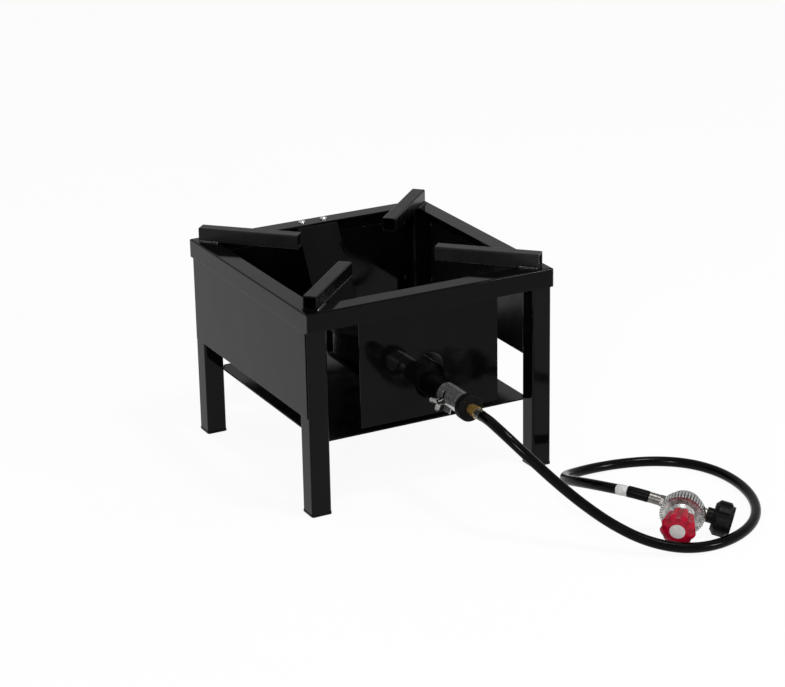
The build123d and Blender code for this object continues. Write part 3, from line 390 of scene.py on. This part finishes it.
def spread(tree, source, low, high, start=0.3, end=0.7):
    """Carries the range start to end of a source, by default the middle of a noise, to low to high."""
    made = step(tree, "MapRange", {"From Min": start, "From Max": end, "To Min": low, "To Max": high})
    tree.links.new(source, made.inputs["Value"])
    return made.outputs["Result"]


def grey(tone):
    """Grey of one tone as a colour."""
    return tone, tone, tone


def blend(tree, source, dark, light):
    """Colour between dark and light as the source goes from 0 to 1."""
    made = step(tree, "Mix", data_type="RGBA")
    made.inputs["A"].default_value = (*dark, 1.0)
    made.inputs["B"].default_value = (*light, 1.0)
    tree.links.new(source, made.inputs["Factor"])
    return made.outputs["Result"]


def mottled(tree, size, dark, light):
    """Colour that wanders between dark and light in clouds about size metres wide."""
    return blend(tree, spread(tree, grain(tree, size, detail=4.0), 0.0, 1.0), dark, light)


def relief(tree, height, depth, under=None):
    """Bends the normal as if the surface were raised by height times depth metres."""
    made = step(tree, "Bump", {"Distance": depth, "Strength": 1.0})
    tree.links.new(height, made.inputs["Height"])
    if under is not None:
        tree.links.new(under, made.inputs["Normal"])
    return made.outputs["Normal"]


def soft_edges(tree, radius):
    """Normal that turns smoothly over an edge within radius metres."""
    return step(tree, "Bevel", {"Radius": radius}, samples=EDGE_SAMPLES).outputs["Normal"]


def dress(tree, shader, colour, roughness=None, normal=None):
    """Links what varies over the surface to the shader."""
    for source, name in ((colour, "Base Color"), (roughness, "Roughness"), (normal, "Normal")):
        if source is not None:
            tree.links.new(source, shader.inputs[name])


print("finish helpers ready, grain roughness", GRAIN_ROUGHNESS)

# %% [markdown]
# ### Black enamel on the stand
# The stand is dipped or sprayed in black enamel. It is smooth enough to mirror the mixing tube in
# the heat shield, but not flat: the paint has a fine orange peel, and the sheet below it is a
# little wavy. A clear coat on top would double the shine, so one layer with a low reflection at
# right angles is used, which still brightens where the face is seen at a low angle.
#
# The coat isn't the same everywhere. The front rim and the heat shield are a little wavier, and are
# painted darker with a weaker mirror: painted shade for faces that see little light. The shelf and the
# pot supports are duller, and the shelf is painted darker as well, a painted shade for its place
# inside the stand. Two supports and the right panel are painted lighter grey: painted light for faces
# that catch more light.
# On the welds the paint runs smooth over the bead and shines more. One function makes all of these
# from how black the coat is, how strong a mirror, how high its waves and how smooth.

# %% Enamel
DUST_WIDTH = 0.0011
DUST_FROM, DUST_TO = 0.66, 0.78
CLOUD_WIDTH = 0.05
CLOUD_SHARE = 0.5
DUSTY = 2.2
WAVE_WIDTH = 0.07
PEEL_WIDTH = 0.0025
PEEL_DEPTH = 0.000012
SHINE_WIDTH = 0.02
PAINT_EDGE = 0.0008


def black_enamel(name, tone, mirror, wave, shine):
    """Nearly black enamel: orange peel, waves that are wave metres high, fine dust, and a roughness
    that wanders over the range shine."""
    finish, tree, shader = new_finish(name)
    shader.inputs["Specular IOR Level"].default_value = mirror
    dust = spread(tree, grain(tree, DUST_WIDTH, detail=1.0), 0.0, 1.0, DUST_FROM, DUST_TO)
    cloudy = spread(tree, grain(tree, CLOUD_WIDTH, detail=4.0), 0.0, CLOUD_SHARE)
    colour = blend(tree, math_step(tree, "ADD", dust, cloudy), grey(tone), grey(DUSTY * tone))
    waves = relief(tree, grain(tree, WAVE_WIDTH, detail=1.0), wave, soft_edges(tree, PAINT_EDGE))
    peel = relief(tree, grain(tree, PEEL_WIDTH, detail=2.0), PEEL_DEPTH, waves)
    dress(tree, shader, colour, spread(tree, grain(tree, SHINE_WIDTH, detail=3.0), *shine), peel)
    return finish


enamel = black_enamel("gloss_enamel", tone=0.0013, mirror=0.11, wave=0.0003, shine=(0.05, 0.10))
# Painted shade: a darker copy of the enamel with a weaker mirror, for the front faces that see little
# light.
shaded_front_enamel = black_enamel("shaded_front_enamel", tone=0.0011, mirror=0.085, wave=0.0005, shine=(0.05, 0.09))
# Painted shade: a darker, duller copy of the enamel for the shelf deep inside the stand.
shaded_shelf_enamel = black_enamel("shaded_shelf_enamel", tone=0.0008, mirror=0.10, wave=0.0002, shine=(0.13, 0.20))
bar_enamel = black_enamel("bar_enamel", tone=0.0014, mirror=0.11, wave=0.0002, shine=(0.22, 0.32))
# Painted light: a lighter grey copy of the bar enamel for the two supports whose sides catch more light.
lit_bar_enamel = black_enamel("lit_bar_enamel", tone=0.0080, mirror=0.11, wave=0.0002, shine=(0.22, 0.32))
# Painted light: a lighter copy of the enamel for the right panel, whose inside is lit through the open
# top.
lit_panel_enamel = black_enamel("lit_panel_enamel", tone=0.0040, mirror=0.10, wave=0.0003, shine=(0.16, 0.26))
weld_enamel = black_enamel("weld_enamel", tone=0.0013, mirror=0.5, wave=0.0001, shine=(0.05, 0.12))
for made in (enamel, shaded_front_enamel, shaded_shelf_enamel, bar_enamel, lit_bar_enamel, lit_panel_enamel, weld_enamel):
    print("made", made.name)

# %% [markdown]
# ### Black iron, black plastic and rubber
# The burner is a sand casting with a matt black paint over a rough skin. The cap at the front of
# its tube is painted too, over a finer skin. The foot plugs and the coupling nut are moulded
# plastic with a fine spark-eroded texture. The hose is smooth rubber with a soft shine, the sleeve
# on it is dull, and the seals are a greyer rubber. All of them are a dark colour over a skin of
# bumps, so they share a function in which clouds of colour and shine grow with the skin's bumps.

# %% Iron, plastic and rubber
LIGHTER = 1.8
CLOUD_PER_SKIN = 6
SHINE_PER_SKIN = 4
LEAST_SHINE, MOST_SHINE = 0.75, 1.25


def dull_black(name, tone, mirror, skin, depth, roughness, edge):
    """Dark material with a skin of bumps that are skin metres wide and depth metres high."""
    finish, tree, shader = new_finish(name)
    shader.inputs["Specular IOR Level"].default_value = mirror
    cloudy = mottled(tree, CLOUD_PER_SKIN * skin, grey(tone), grey(LIGHTER * tone))
    bumps = relief(tree, grain(tree, skin, detail=3.0), depth, soft_edges(tree, edge))
    patches = grain(tree, SHINE_PER_SKIN * skin, detail=2.0)
    shine = spread(tree, patches, LEAST_SHINE * roughness, MOST_SHINE * roughness)
    dress(tree, shader, cloudy, shine, bumps)
    return finish


cast_iron = dull_black("black_cast_iron", tone=0.0008, mirror=0.02, skin=0.0016, depth=0.0002,
                       roughness=0.45, edge=0.0012)
plastic = dull_black("moulded_plastic", tone=0.002, mirror=0.08, skin=0.0006, depth=0.00003,
                     roughness=0.40, edge=0.0007)
rubber = dull_black("smooth_rubber", tone=0.0005, mirror=0.09, skin=0.0040, depth=0.000010,
                    roughness=0.19, edge=0.0003)
sleeve_rubber = dull_black("dull_rubber", tone=0.0015, mirror=0.055, skin=0.0007, depth=0.00003,
                           roughness=0.40, edge=0.0003)
cap_paint = dull_black("painted_cap", tone=0.0032, mirror=0.04, skin=0.0012, depth=0.00006,
                       roughness=0.50, edge=0.0010)
seal_rubber = dull_black("seal_rubber", tone=0.010, mirror=0.25, skin=0.0008, depth=0.00003,
                         roughness=0.55, edge=0.0003)
for made in (cast_iron, plastic, rubber, sleeve_rubber, cap_paint, seal_rubber):
    print("made", made.name)

# %% [markdown]
# ### Bare metals
# The air shutter and the bolts are zinc plated steel with a thin pale oxide. The wing screw's
# plating has gone dark. The ferrules and the fitting behind the hose are plain pressed steel. The
# regulator is a raw zinc die casting with a grainy skin and strong mottles. All four are one metal
# function with other tones, mottles and skins.

# %% Zinc, steel and die casting
METAL_EDGE = 0.0004
SHINE_PER_MOTTLE = 0.6


def bare_metal(name, dark, light, mottle, skin, depth, shine, bare=1.0):
    """Metal whose colour and shine vary in mottles, with a skin of fine bumps. The share bare of it
    is clean metal, and the rest is a pale oxide that scatters light."""
    finish, tree, shader = new_finish(name)
    shader.inputs["Metallic"].default_value = bare
    tone = mottled(tree, mottle, dark, light)
    bumps = relief(tree, grain(tree, skin, detail=3.0), depth, soft_edges(tree, METAL_EDGE))
    patches = grain(tree, SHINE_PER_MOTTLE * mottle, detail=3.0)
    dress(tree, shader, tone, spread(tree, patches, *shine), bumps)
    return finish


zinc = bare_metal("zinc_plating", (0.48, 0.48, 0.48), (0.68, 0.68, 0.67), mottle=0.012, skin=0.0020,
                  depth=0.000004, shine=(0.22, 0.30), bare=0.92)
dark_zinc = bare_metal("dull_zinc", (0.015, 0.015, 0.014), (0.075, 0.074, 0.07), mottle=0.003,
                       skin=0.0010, depth=0.00004, shine=(0.22, 0.34))
steel = bare_metal("pressed_steel", (0.10, 0.095, 0.09), (0.20, 0.19, 0.178), mottle=0.005,
                   skin=0.0012, depth=0.00001, shine=(0.28, 0.40))
casting = bare_metal("die_casting", (0.17, 0.176, 0.17), (0.76, 0.77, 0.75), mottle=0.005,
                     skin=0.0010, depth=0.00012, shine=(0.34, 0.50))
print("made", zinc.name, dark_zinc.name, steel.name, casting.name)

# %% [markdown]
# The orifice, the flare nut and the parts on the knob's axis are turned brass. The nipple inside the
# coupling nut is turned brass painted a dark brown, a painted shade for its place deep in the nut's
# mouth. The tool leaves fine rings across the axis, made here by a wave along that axis, so each axis
# needs its own finish.

# %% Turned brass
TOOL_PITCH = 0.0004
TOOL_DEPTH = 0.0000015
BRASS_EDGE = 0.0005
BRASS_MOTTLE = 0.005
BRASS_PATCH = 0.003
BRASS_SHINE = 0.12, 0.20
BRASS_BARE = 0.88
BRIGHT_BRASS = (0.72, 0.40, 0.09), (0.95, 0.62, 0.20)
SHADED_BRASS = (0.10, 0.07, 0.03), (0.26, 0.18, 0.08)


def joint(name):
    """A joint of the record by its name."""
    return {j["name"]: j for j in frame["record"]["behaviour"]["joints"]}[name]


def turned_brass(name, axis, dark, light):
    """Brass with tool rings: relief sin(2 pi s / pitch), s being the distance along the axis."""
    finish, tree, shader = new_finish(name)
    shader.inputs["Metallic"].default_value = BRASS_BARE
    waves = step(tree, "VectorMath", operation="DOT_PRODUCT")
    tree.links.new(place_on_object(tree), waves.inputs[0])
    waves.inputs[1].default_value = tuple(2 * math.pi / TOOL_PITCH * c for c in axis)
    rings = math_step(tree, "SINE", waves.outputs["Value"])
    lines = relief(tree, rings, TOOL_DEPTH, soft_edges(tree, BRASS_EDGE))
    tone = mottled(tree, BRASS_MOTTLE, dark, light)
    dress(tree, shader, tone, spread(tree, grain(tree, BRASS_PATCH, detail=3.0), *BRASS_SHINE), lines)
    return finish


brass = turned_brass("brass_burner_end", joint("flare_nut_turn")["axis"], *BRIGHT_BRASS)
knob_brass = turned_brass("brass_knob_axis", joint("knob_turn")["axis"], *BRIGHT_BRASS)
# Painted shade: the nipple deep in the nut's mouth gets the dark brown brass.
inlet_brass = turned_brass("brass_inlet_axis", joint("coupling_nut_turn")["axis"], *SHADED_BRASS)
print("made", brass.name, knob_brass.name, inlet_brass.name)

# %% [markdown]
# ### Red plastic and crimped ring
# The knob is moulded in a clear red. The valleys between its nine lobes get a painted shade: the
# colour follows the cosine of nine times the angle around the knob's axis, and the shade fades out on
# the front face. The ring that holds the regulator together is crimped in notches, and the same
# cosine with one wave for each notch paints shade into them.

# %% Shade around the knob's axis
KNOB_LOBES = 9
KNOB_FACE = 0.012, 0.017
RING_NOTCHES = 44
RING_FACE = 0.0245, 0.0258
VALLEY, LOBE = -0.9, 0.7


def along(tree, centre, direction):
    """Distance from centre along a direction, in metres."""
    made = step(tree, "VectorMath", operation="DOT_PRODUCT")
    tree.links.new(place_on_object(tree), made.inputs[0])
    made.inputs[1].default_value = direction
    return math_step(tree, "SUBTRACT", made.outputs["Value"], float(centre.dot(direction)))


def lobe_shade(tree, piece, count, turn_by, fade):
    """0 in the valleys and 1 on the lobes, from cos(count t + turn_by) with t the angle around the
    knob's axis, and 1 near that axis, with the change over the range fade of distances from it."""
    to_piece = piece.matrix_world.inverted()
    centre = to_piece @ Vector(joint("knob_turn")["pos_m"])
    turn = to_piece.to_3x3()
    across = turn @ Vector(joint("coupling_nut_turn")["axis"])
    over = (turn @ Vector(joint("knob_turn")["axis"])).cross(across)
    x, y = along(tree, centre, across), along(tree, centre, over)
    angle = math_step(tree, "MULTIPLY", math_step(tree, "ARCTAN2", y, x), float(count))
    wave = math_step(tree, "COSINE", math_step(tree, "ADD", angle, turn_by))
    lobes = spread(tree, wave, 0.0, 1.0, VALLEY, LOBE)
    square = math_step(tree, "ADD", math_step(tree, "MULTIPLY", x, x), math_step(tree, "MULTIPLY", y, y))
    face = spread(tree, math_step(tree, "SQRT", square), 1.0, 0.0, *fade)
    return math_step(tree, "MAXIMUM", lobes, face)


print("shade for", KNOB_LOBES, "lobes and", RING_NOTCHES, "notches")

# %% Knob and ring
RED_MIRROR = 0.18
RED_FLOW = 0.012
FLOW_LEAST = 0.75
RED_SHADED, RED_CLEAR = (0.20, 0.001, 0.011), (0.35, 0.002, 0.021)
RED_SKIN = 0.0018
RED_EDGE = 0.001
RED_PATCH = 0.006
RED_SHINE = 0.16, 0.26
RING_MOTTLE = 0.006
MOTTLE_LEAST = 0.55
RING_NOTCH_SHADE, RING_BRIGHT = (0.18, 0.18, 0.18), (0.74, 0.75, 0.73)
RING_SKIN = 0.0012
RING_PATCH = 0.004
RING_SHINE = 0.22, 0.34
SKIN_DEPTH = 0.00002


def red_plastic(piece):
    """Glossy red plastic with painted shade in the valleys, slow flow marks and a fine skin."""
    finish, tree, shader = new_finish("red_plastic")
    shader.inputs["Specular IOR Level"].default_value = RED_MIRROR
    flow = spread(tree, grain(tree, RED_FLOW, detail=4.0), FLOW_LEAST, 1.0)
    lobes = lobe_shade(tree, piece, KNOB_LOBES, 0.0, KNOB_FACE)
    # Painted shade: the valleys between the lobes take the darker red.
    tone = blend(tree, math_step(tree, "MULTIPLY", lobes, flow), RED_SHADED, RED_CLEAR)
    skin = relief(tree, grain(tree, RED_SKIN, detail=2.0), SKIN_DEPTH, soft_edges(tree, RED_EDGE))
    dress(tree, shader, tone, spread(tree, grain(tree, RED_PATCH, detail=2.0), *RED_SHINE), skin)
    return finish


def crimped_zinc(piece):
    """Pressed zinc ring with painted shade in its crimped notches and bright lands."""
    finish, tree, shader = new_finish("crimped_zinc")
    shader.inputs["Metallic"].default_value = 1.0
    mottle = spread(tree, grain(tree, RING_MOTTLE, detail=4.0), MOTTLE_LEAST, 1.0)
    lands = lobe_shade(tree, piece, RING_NOTCHES, math.pi, RING_FACE)
    # Painted shade: the crimped notches take the dark colour.
    tone = blend(tree, math_step(tree, "MULTIPLY", lands, mottle), RING_NOTCH_SHADE, RING_BRIGHT)
    skin = relief(tree, grain(tree, RING_SKIN, detail=3.0), SKIN_DEPTH, soft_edges(tree, METAL_EDGE))
    dress(tree, shader, tone, spread(tree, grain(tree, RING_PATCH, detail=3.0), *RING_SHINE), skin)
    return finish


red = red_plastic(nodes["regulator_knob"])
crimped = crimped_zinc(nodes["crimp_ring"])
print("made", red.name, crimped.name)

# %% [markdown]
# ### Paper and label
# The disc on the knob's front is a plain pale label, and the wrap on the hose is off-white paper.
# Both are matt, with clouds of tone; the wrap is creased deeply and the label hardly at all.

# %% Paper and card
PAPER_MIRROR = 0.3
PAPER_CLOUD = 0.004
CREASE_WIDTH = 0.005
PAPER_PATCH = 0.002
PAPER_SHINE = 0.45, 0.65


def pale_paper(name, dark, light, crease):
    """Matt paper with clouds of tone and creases of the given depth."""
    finish, tree, shader = new_finish(name)
    shader.inputs["Specular IOR Level"].default_value = PAPER_MIRROR
    fold = relief(tree, grain(tree, CREASE_WIDTH, detail=3.0), crease)
    shine = spread(tree, grain(tree, PAPER_PATCH, detail=2.0), *PAPER_SHINE)
    dress(tree, shader, mottled(tree, PAPER_CLOUD, dark, light), shine, fold)
    return finish


paper = pale_paper("tag_paper", (0.36, 0.36, 0.35), (0.62, 0.62, 0.61), crease=0.0006)
label = pale_paper("label_card", (0.44, 0.42, 0.405), (0.54, 0.52, 0.50), crease=0.0001)
print("made", paper.name, label.name)

# %% [markdown]
# ### Who gets which finish
# The record already names a slot for every piece, so the finishes are handed out by slot first.
# Pieces that look different from the rest of their slot are then named one by one: the other coats
# of enamel, the painted cap, the steel fittings, the dark wing screw, the crimped ring, and the
# brass that was turned about another axis.

# %% Hand out the finishes
BY_SLOT = {
    "black_paint": enamel, "black_plastic": plastic, "black_iron": cast_iron, "zinc_steel": zinc,
    "zinc_casting": casting, "brass": brass, "hose_rubber": rubber, "seal_rubber": seal_rubber,
    "white_tag": paper, "red_plastic": red, "white_label": label}
BY_PIECE = {
    "rim_front": shaded_front_enamel, "front_heat_shield": shaded_front_enamel, "bottom_shelf": shaded_shelf_enamel,
    "pot_support_front_left": bar_enamel, "pot_support_back_right": bar_enamel,
    "pot_support_front_right": lit_bar_enamel, "pot_support_back_left": lit_bar_enamel,
    "right_panel": lit_panel_enamel, "orifice_cap": cap_paint, "shutter_wing_screw": dark_zinc,
    "burner_ferrule": steel, "regulator_ferrule": steel, "outlet_fitting": steel,
    "crimp_ring": crimped, "adjusting_screw": knob_brass, "spring_seat": knob_brass,
    "inlet_nipple": inlet_brass}
OWN_PIECES = (
    (support_welds, weld_enamel), (tack_welds, weld_enamel), (corner_welds, weld_enamel),
    (hose, rubber), (sleeve, sleeve_rubber), (tag, paper))


def give(piece, finish):
    """Puts one finish on a piece."""
    piece.data.materials.clear()
    piece.data.materials.append(finish)


subparts = frame["record"]["subparts"]
for part in subparts:
    give(nodes[part["node"]], BY_PIECE.get(part["node"], BY_SLOT[part["material_slot"]]))
for piece, finish in OWN_PIECES:
    give(piece, finish)
print("finishes on", len(subparts), "nodes and", len(OWN_PIECES), "pieces")

# %% [markdown]
# ## Floor and light
# The object stands on a pale floor that fills the picture. Black enamel shows mostly what it
# mirrors, so the light is planned by what each face sees: the left side sees the pale floor at a
# low angle, the tops see the dim room behind, and the front sees little. The floor looks white to
# the camera and to reflections, yet the part of it that is lit by lamps still carries the shadow.

# %% Floor
FLOOR_HALF = 40.0
FLOOR_LIFT = 0.93
FLOOR_CLOUD = 0.5
FLOOR_DARK, FLOOR_LIGHT = 0.80, 0.84
FLOOR_ROUGHNESS = 0.9


def floor_finish():
    """Pale matt floor; camera, mirror and glass rays see it mixed with plain white light."""
    finish, tree, shader = new_finish("pale_floor")
    clouds = spread(tree, grain(tree, FLOOR_CLOUD, detail=3.0), 0.0, 1.0)
    dress(tree, shader, blend(tree, clouds, grey(FLOOR_DARK), grey(FLOOR_LIGHT)))
    shader.inputs["Roughness"].default_value = FLOOR_ROUGHNESS
    shader.inputs["Specular IOR Level"].default_value = 0.0
    white = step(tree, "Emission", {"Strength": 1.0})
    ray = step(tree, "LightPath").outputs
    direct = math_step(tree, "MAXIMUM", ray["Is Camera Ray"], ray["Is Transmission Ray"])
    seen = math_step(tree, "MAXIMUM", direct, ray["Is Glossy Ray"])
    mixed = step(tree, "MixShader")
    tree.links.new(math_step(tree, "MULTIPLY", seen, FLOOR_LIFT), mixed.inputs["Fac"])
    tree.links.new(shader.outputs["BSDF"], mixed.inputs[1])
    tree.links.new(white.outputs["Emission"], mixed.inputs[2])
    tree.links.new(mixed.outputs["Shader"], tree.nodes["Material Output"].inputs["Surface"])
    return finish


floor_mesh = bpy.data.meshes.new("floor")
floor_corners = FLOOR_HALF * np.array([(-1, -1, 0), (1, -1, 0), (1, 1, 0), (-1, 1, 0)])
floor_mesh.from_pydata(floor_corners.tolist(), [], [(0, 1, 2, 3)])
floor = bpy.data.objects.new("floor", floor_mesh)
bpy.context.scene.collection.objects.link(floor)
give(floor, floor_finish())
print("floor", 2 * FLOOR_HALF, "m wide")

# %% [markdown]
# Two lamps stand in front, left and right, and one hangs above. They are small and bright, so that
# they draw narrow streaks on the hose and the metal without filling the black faces with grey. The
# room around gives an even, dim light.

# %% Lamps and room
ROOM = 0.55
LAMP_SIZE = 0.48
LAMP_AIM = Vector((0, 0, 0.15))
LAMPS = {
    "left": ((-2.4, -2.9, 1.5), 64.0),
    "right": ((2.1, -3.2, 1.4), 64.0),
    "top": ((0.55, -1.1, 3.0), 50.0)}


def soft_box(name, place, radiance):
    """Square lamp at place that faces the object; its watts follow from radiance = watts / (pi area)."""
    data = bpy.data.lights.new(name, "AREA")
    data.size = LAMP_SIZE
    data.energy = radiance * math.pi * LAMP_SIZE ** 2
    lamp = bpy.data.objects.new(name, data)
    lamp.location = place
    lamp.rotation_euler = (LAMP_AIM - Vector(place)).to_track_quat("-Z", "Y").to_euler()
    bpy.context.scene.collection.objects.link(lamp)


for name, (place, radiance) in LAMPS.items():
    soft_box(name, place, radiance)
world = bpy.data.worlds.new("room")
world.use_nodes = True
world.node_tree.nodes["Background"].inputs["Color"].default_value = (*grey(ROOM), 1.0)
bpy.context.scene.world = world
bpy.context.scene.view_settings.view_transform = "Standard"
print("lamps", len(LAMPS), "room", ROOM)
